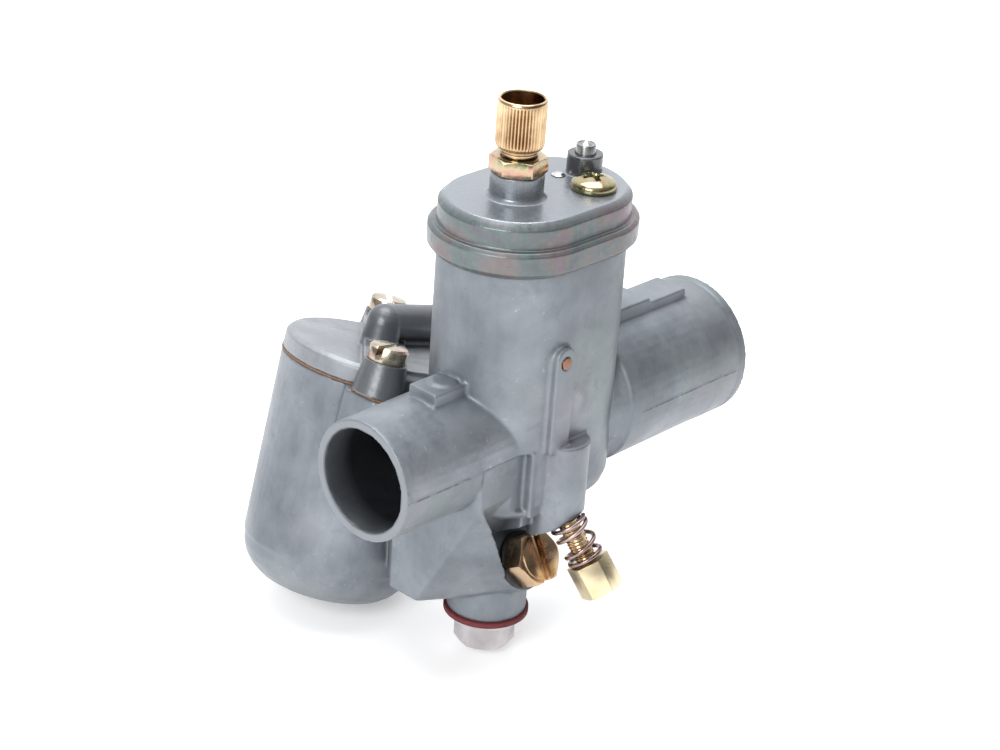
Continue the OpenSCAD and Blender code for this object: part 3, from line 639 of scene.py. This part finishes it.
def cross_recess(r, z, a):
    if z < 1.0 or r > 2.7:
        return r, z
    b = a + math.radians(28)
    u, v = abs(r * math.cos(b)), abs(r * math.sin(b))
    arm = max(min(1.0, (0.58 - v) / 0.16) * min(1.0, (2.35 - u) / 0.5),
              min(1.0, (0.58 - u) / 0.16) * min(1.0, (2.35 - v) / 0.5))
    core = min(1.0, max(0.0, (1.15 - r) / 0.3))
    depth = max(0.0, min(1.0, max(arm, core)))
    return r, z - 1.5 * depth * (1 - 0.25 * r / 2.4)


HEAD_R, HEAD_RIM, HEAD_DOME = 4.5, 1.0, 1.7
profile = [(0, -19), (2, -19), (2, 0), (4.4, 0), (4.55, 0.15), (4.55, 0.8), (HEAD_R, HEAD_RIM)]
profile += [(HEAD_R * math.cos(t), HEAD_RIM + HEAD_DOME * math.sin(t)) for t in np.linspace(0.12, 1.0, 10)]
profile += [(r, HEAD_RIM + HEAD_DOME * math.sqrt(1 - (r / HEAD_R) ** 2)) for r in np.linspace(2.35, 0.1, 34)]
profile += [(0, 1.2)]
lathe("cap_screw_head", profile, OLIVE_ZINC, "carburetor",
      Matrix.Translation((screw_x, screw_y, cap_face * MM)), 240, cross_recess, sharp=50,
      stands_for=("cap_screw",))



def valve_spring(node, name, joint, x, mean_r, wire, turns):
    """The spring over a valve, from the valve up to its fixed end at the cap's gasket."""
    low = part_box(node)[0].z
    top = joints[joint]["deforming_nodes"][0]["fixed_end_z_m"]
    length = (top - low) / MM
    place = Matrix.Translation((x, 0, low))
    coil = spring(name, STEEL, "carburetor", place, mean_r, wire, length, turns, (node,))
    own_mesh(coil)


valve_spring("throttle_spring", "throttle_coil", "throttle_lift", SLIDE_X, 6.2, 0.9, 10)
valve_spring("starter_spring", "starter_coil", "starter_lift", (pin_lo.x + pin_hi.x) / 2, 2.4, 0.5, 14)

spring("stop_coil", SPRING, "carburetor", STOP, 3.5, 0.95, STOP_GAP - 0.05, 3.75,
       ("throttle_stop_spring",), start=0.6)


def thread(r, z, a):
    if r < 1.6:
        return r, z
    turn = (z / THREAD_PITCH + a / (2 * math.pi)) % 1.0
    return r + 0.2 * (1 - 2 * abs(turn - 0.5)), z


THREAD_PITCH, THREAD_STEP = 0.7, 0.07
steps = int((STOP_GAP - 0.1) / THREAD_STEP)
profile = [(2.0, 0.05 + k * THREAD_STEP) for k in range(steps)] + [(1.5, STOP_GAP - 0.1), (1.5, 0.05)]
lathe("stop_screw_thread", profile, COPPER_BRASS, "stop_screw", STOP, 48, thread, True, 80)

# ---------------------------------------------------------------- floor, light and camera
floor_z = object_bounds()[0][2] - 0.5 * MM
mesh = bpy.data.meshes.new("floor")
corners = [(-3, -3), (3, -3), (3, 3), (-3, 3)]
mesh.from_pydata([(x, y, floor_z) for x, y in corners], [], [(0, 1, 2, 3)])
floor = bpy.data.objects.new("floor", mesh)
scene.collection.objects.link(floor)
n = Nodes("floor_white")
white = n.ramp(n.noise(3, 2), [(0.3, (0.86, 0.86, 0.86)), (0.7, (0.89, 0.89, 0.89))])
give(floor, n.finish(Base_Color=white, Roughness=0.9, Emission_Color=(1.0, 1.0, 1.0), Emission_Strength=0.25))


AIM = Vector((0.038, 0.0, 0.01))


def area(name, place, size, power):
    """A square lamp that shines at the carburetor."""
    lamp = bpy.data.lights.new(name, "AREA")
    lamp.size = size
    lamp.energy = power
    obj = bpy.data.objects.new(name, lamp)
    obj.location = place
    obj.rotation_euler = (AIM - Vector(place)).to_track_quat("-Z", "Y").to_euler()
    scene.collection.objects.link(obj)


area("top", (0.10, 0.12, 0.85), 0.7, 8)
area("key", (-0.76, -0.22, 0.45), 0.5, 7)

# A studio's surround: bright behind and above the part, dim where the camera stands
world = bpy.data.worlds.new("studio")
world.use_nodes = True
wt = world.node_tree


def lobe(direction, lo, hi, strength):
    """Light that the surround sends from round one direction."""
    dot = wt.nodes.new("ShaderNodeVectorMath")
    dot.operation = "DOT_PRODUCT"
    wt.links.new(sky, dot.inputs[0])
    dot.inputs[1].default_value = Vector(direction).normalized()
    fall = wt.nodes.new("ShaderNodeMapRange")
    fall.interpolation_type = "SMOOTHSTEP"
    for k, v in zip(("From Min", "From Max", "To Min", "To Max"), (lo, hi, 0.0, strength)):
        fall.inputs[k].default_value = v
    wt.links.new(dot.outputs["Value"], fall.inputs["Value"])
    return fall.outputs[0]


def total(a, b):
    add = wt.nodes.new("ShaderNodeMath")
    add.operation = "ADD"
    for k, v in enumerate((a, b)):
        if isinstance(v, float):
            add.inputs[k].default_value = v
        else:
            wt.links.new(v, add.inputs[k])
    return add.outputs[0]


sky = wt.nodes.new("ShaderNodeTexCoord").outputs["Generated"]
light = total(lobe((0.60, 0.60, 0.45), 0.3, 0.95, 1.5), lobe((-0.9, -0.1, 0.4), 0.2, 0.95, 0.42))
light = total(light, lobe((0, 0, 1), 0.2, 1.0, 0.35))
wt.links.new(total(light, 0.09), wt.nodes["Background"].inputs[1])
wt.nodes["Background"].inputs[0].default_value = (0.97, 0.98, 1.0, 1)
scene.world = world
scene.view_settings.view_transform = "Standard"
scene.view_settings.look = "None"

# The camera stands where the photograph was taken from
AZIMUTH, ELEVATION, ROLL = (math.radians(v) for v in (-48.39, 25.846, 4.198))
LOOK_AT = Vector((SLIDE_X + 0.04555, 0.04118, -0.01894))
DISTANCE = 0.56725
level = Vector((math.sin(AZIMUTH), -math.cos(AZIMUTH), 0))
back = level * math.cos(ELEVATION) + Vector((0, 0, math.sin(ELEVATION)))
right = Vector((math.cos(AZIMUTH), math.sin(AZIMUTH), 0))
up = back.cross(right)
right, up = (right * math.cos(ROLL) + up * math.sin(ROLL), up * math.cos(ROLL) - right * math.sin(ROLL))
cam = bpy.data.cameras.new("camera")
cam.sensor_width = 36
cam.lens = 90.11
cam.clip_start = 0.01
cam.clip_end = 20
camera = bpy.data.objects.new("camera", cam)
m = Matrix((right, up, back)).transposed().to_4x4()
m.translation = LOOK_AT + back * DISTANCE
camera.matrix_world = m
scene.collection.objects.link(camera)
scene.camera = camera
